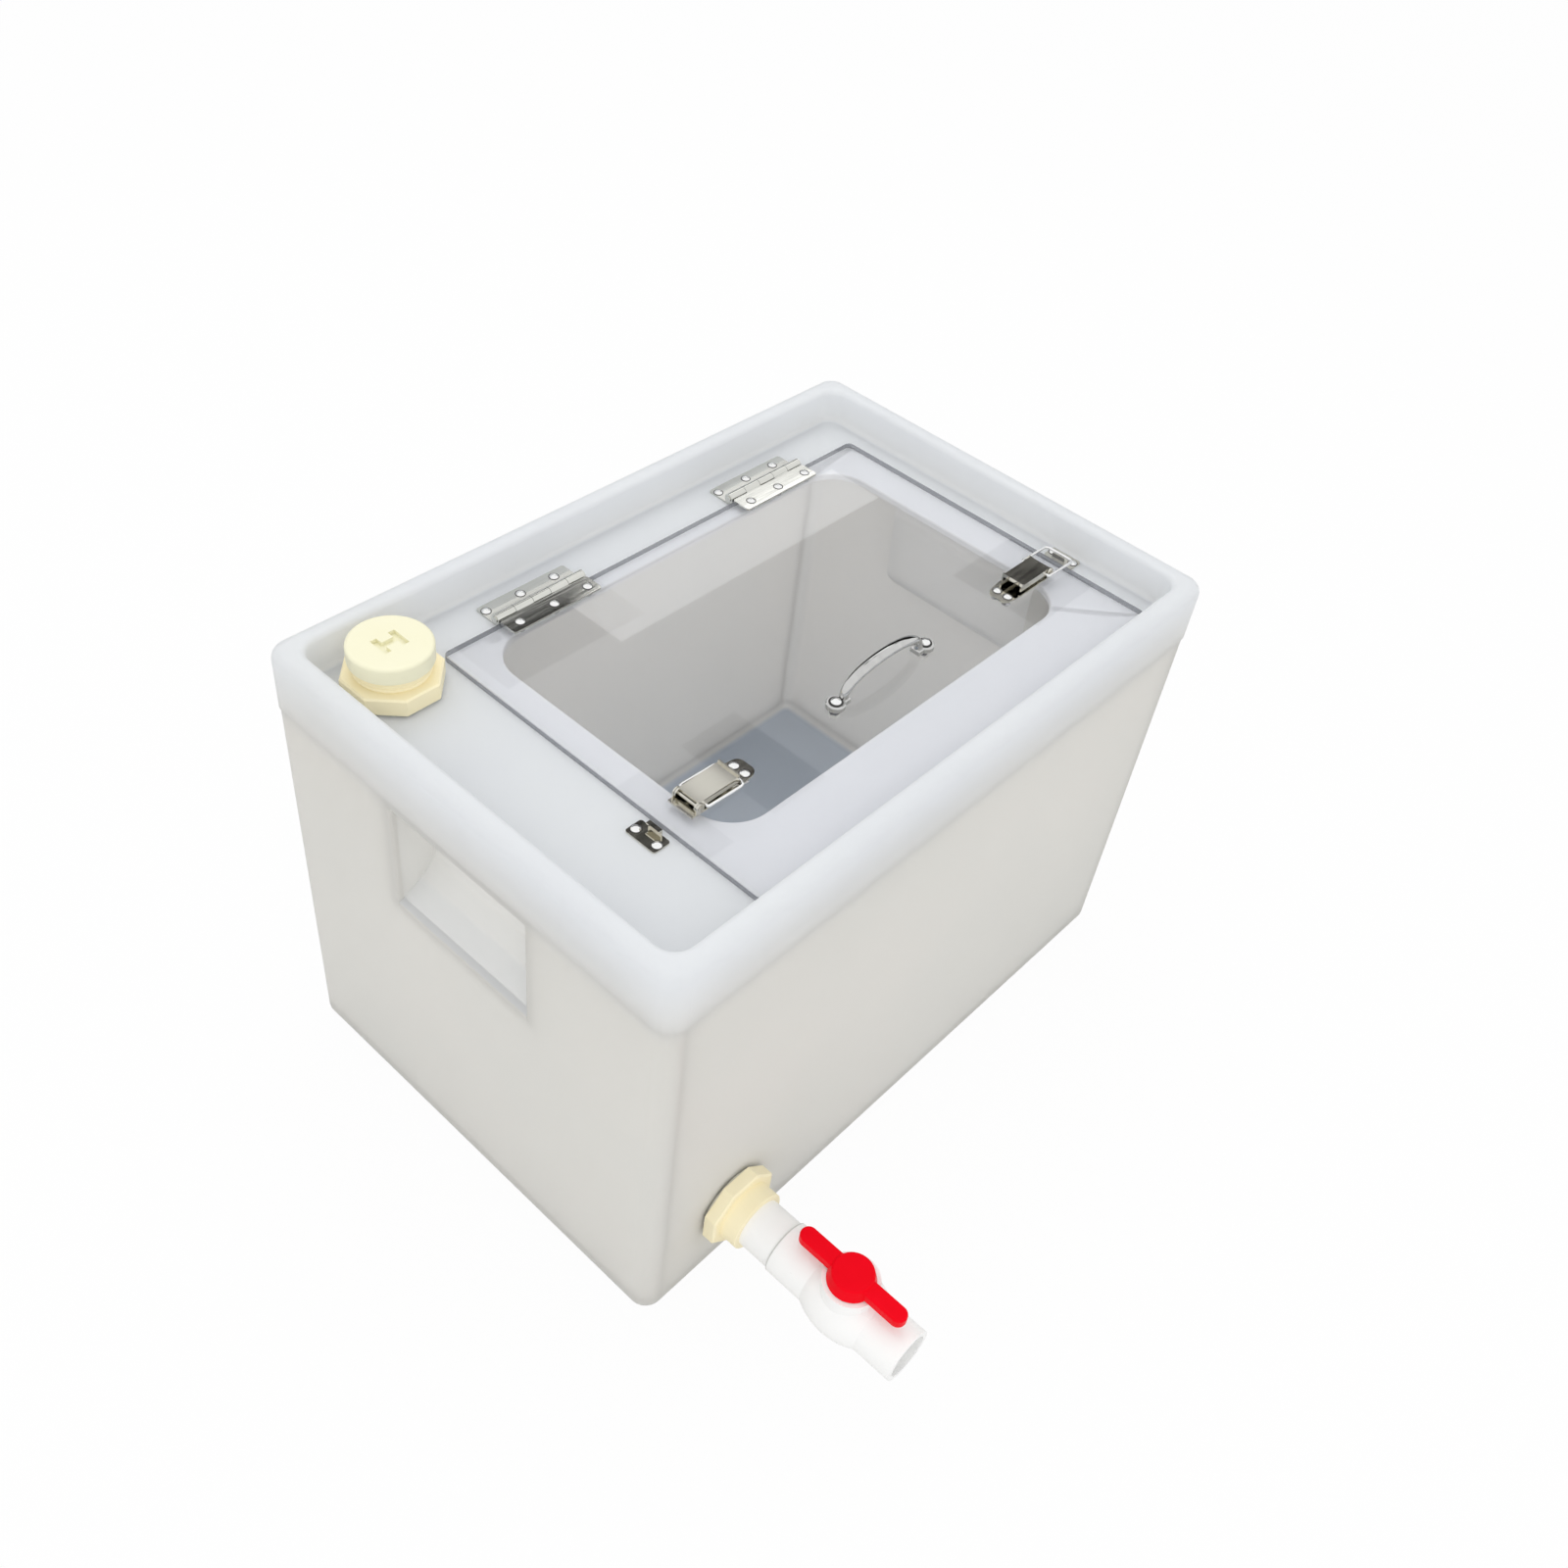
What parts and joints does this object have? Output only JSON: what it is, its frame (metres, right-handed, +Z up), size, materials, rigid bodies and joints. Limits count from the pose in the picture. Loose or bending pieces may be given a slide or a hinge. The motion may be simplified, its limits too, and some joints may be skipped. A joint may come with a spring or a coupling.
{
  "type": "fish transport box",
  "caption": "Moulded tank for carrying live fish, with a clear hinged lid under a raised rim, draw latches, a screw fill plug and a ball valve drain.",
  "frame": {"origin": "middle of the tank's flat base", "axes": "+X along the long side towards the end without the fill plug, +Y towards the hinges at the back, +Z up; the drain valve stands out of the front wall along -Y"},
  "size_m": [0.556, 0.536, 0.3835],
  "materials": {
    "tank_plastic": "milky translucent polyethylene, soft satin",
    "clear_sheet": "clear glossy sheet",
    "rivet_metal": "polished rivets",
    "chrome": "bright chrome",
    "screw_metal": "bright round-headed screws and nuts",
    "cream_plastic": "cream ABS, semi gloss",
    "plug_plastic": "cream ABS, semi gloss",
    "rubber_ring": "matt rubber",
    "white_pvc": "white PVC, semi gloss",
    "seat_plastic": "waxy white",
    "red_plastic": "red ABS, semi gloss",
    "stainless": "bright stainless",
    "pin_metal": "bright stainless",
    "latch_metal": "bright stainless",
    "wire_metal": "bright wire"
  },
  "bodies": {
    "tank": {"tank_base": "tank_plastic", "tank_deck": "tank_plastic", "tank_rim": "tank_plastic", "tank_wall_front": "tank_plastic", "tank_wall_back": "tank_plastic", "tank_wall_left": "tank_plastic", "tank_wall_right": "tank_plastic", "hand_pocket_left": "tank_plastic", "hand_pocket_right": "tank_plastic", "deck_hinge_rivets": "rivet_metal", "keeper_rivets": "rivet_metal", "keeper_left": "latch_metal", "keeper_right": "latch_metal", "hinge_leaf_deck_left": "stainless", "hinge_leaf_deck_right": "stainless", "hinge_pin_left": "pin_metal", "hinge_pin_right": "pin_metal", "fill_port": "cream_plastic", "fill_gasket": "rubber_ring", "fill_locknut": "cream_plastic", "drain_port": "cream_plastic", "drain_gasket": "rubber_ring", "drain_locknut": "cream_plastic", "drain_adapter": "white_pvc", "valve_body": "white_pvc", "valve_outlet": "white_pvc", "ball_seat_inlet": "seat_plastic", "ball_seat_outlet": "seat_plastic"},
    "lid": {"lid_sheet": "clear_sheet", "lid_hinge_rivets": "rivet_metal", "hinge_leaf_lid_left": "stainless", "hinge_leaf_lid_right": "stainless", "bow_handle": "chrome", "bow_screws": "screw_metal", "bow_nuts": "screw_metal", "latch_rivets": "rivet_metal", "latch_base_left": "latch_metal", "latch_base_right": "latch_metal", "lever_pin_left": "pin_metal", "lever_pin_right": "pin_metal"},
    "lever_left": {"latch_lever_left": "latch_metal"},
    "lever_right": {"latch_lever_right": "latch_metal"},
    "bail_left": {"latch_bail_left": "wire_metal"},
    "bail_right": {"latch_bail_right": "wire_metal"},
    "plug_ring": {"plug_seal": "rubber_ring"},
    "plug": {"fill_plug": "plug_plastic"},
    "valve": {"valve_handle": "red_plastic", "valve_stem": "white_pvc", "stem_ring": "rubber_ring", "valve_ball": "white_pvc"}
  },
  "joints": [
    {"name": "lid_hinge", "type": "hinge", "parent": "tank", "child": "lid", "pos_m": [0, 0.135, 0.352], "axis": [-1, 0, 0], "range_deg": [0, 140]},
    {"name": "lever_left_pivot", "type": "hinge", "parent": "lid", "child": "lever_left", "pos_m": [-0.1581, -0.0795, 0.3568], "axis": [0, -1, 0], "range_deg": [0, 95]},
    {"name": "lever_right_pivot", "type": "hinge", "parent": "lid", "child": "lever_right", "pos_m": [0.2166, -0.0795, 0.3568], "axis": [0, 1, 0], "range_deg": [0, 95]},
    {"name": "bail_left_pivot", "type": "hinge", "parent": "lever_left", "child": "bail_left", "pos_m": [-0.1531, -0.0795, 0.3568], "axis": [0, -1, 0], "range_deg": [0, 80]},
    {"name": "bail_right_pivot", "type": "hinge", "parent": "lever_right", "child": "bail_right", "pos_m": [0.2116, -0.0795, 0.3568], "axis": [0, 1, 0], "range_deg": [-95, 0]},
    {"name": "plug_rise", "type": "slide", "parent": "tank", "child": "plug_ring", "axis": [0, 0, 1], "range_m": [0, 0.012]},
    {"name": "plug_turn", "type": "hinge", "parent": "plug_ring", "child": "plug", "pos_m": [-0.2205, 0.1295, 0.375], "axis": [0, 0, 1], "range_deg": [0, 1080]},
    {"name": "valve_turn", "type": "hinge", "parent": "tank", "child": "valve", "pos_m": [-0.199, -0.2945, 0.1], "axis": [0, 0, 1], "range_deg": [0, 90]}
  ],
  "couplings": [
    {"joint": "plug_rise", "follows": "plug_turn", "m_per_rad": 0.00063662},
    {"joint": "bail_right_pivot", "follows": "lever_right_pivot", "ratio": -1}
  ]
}
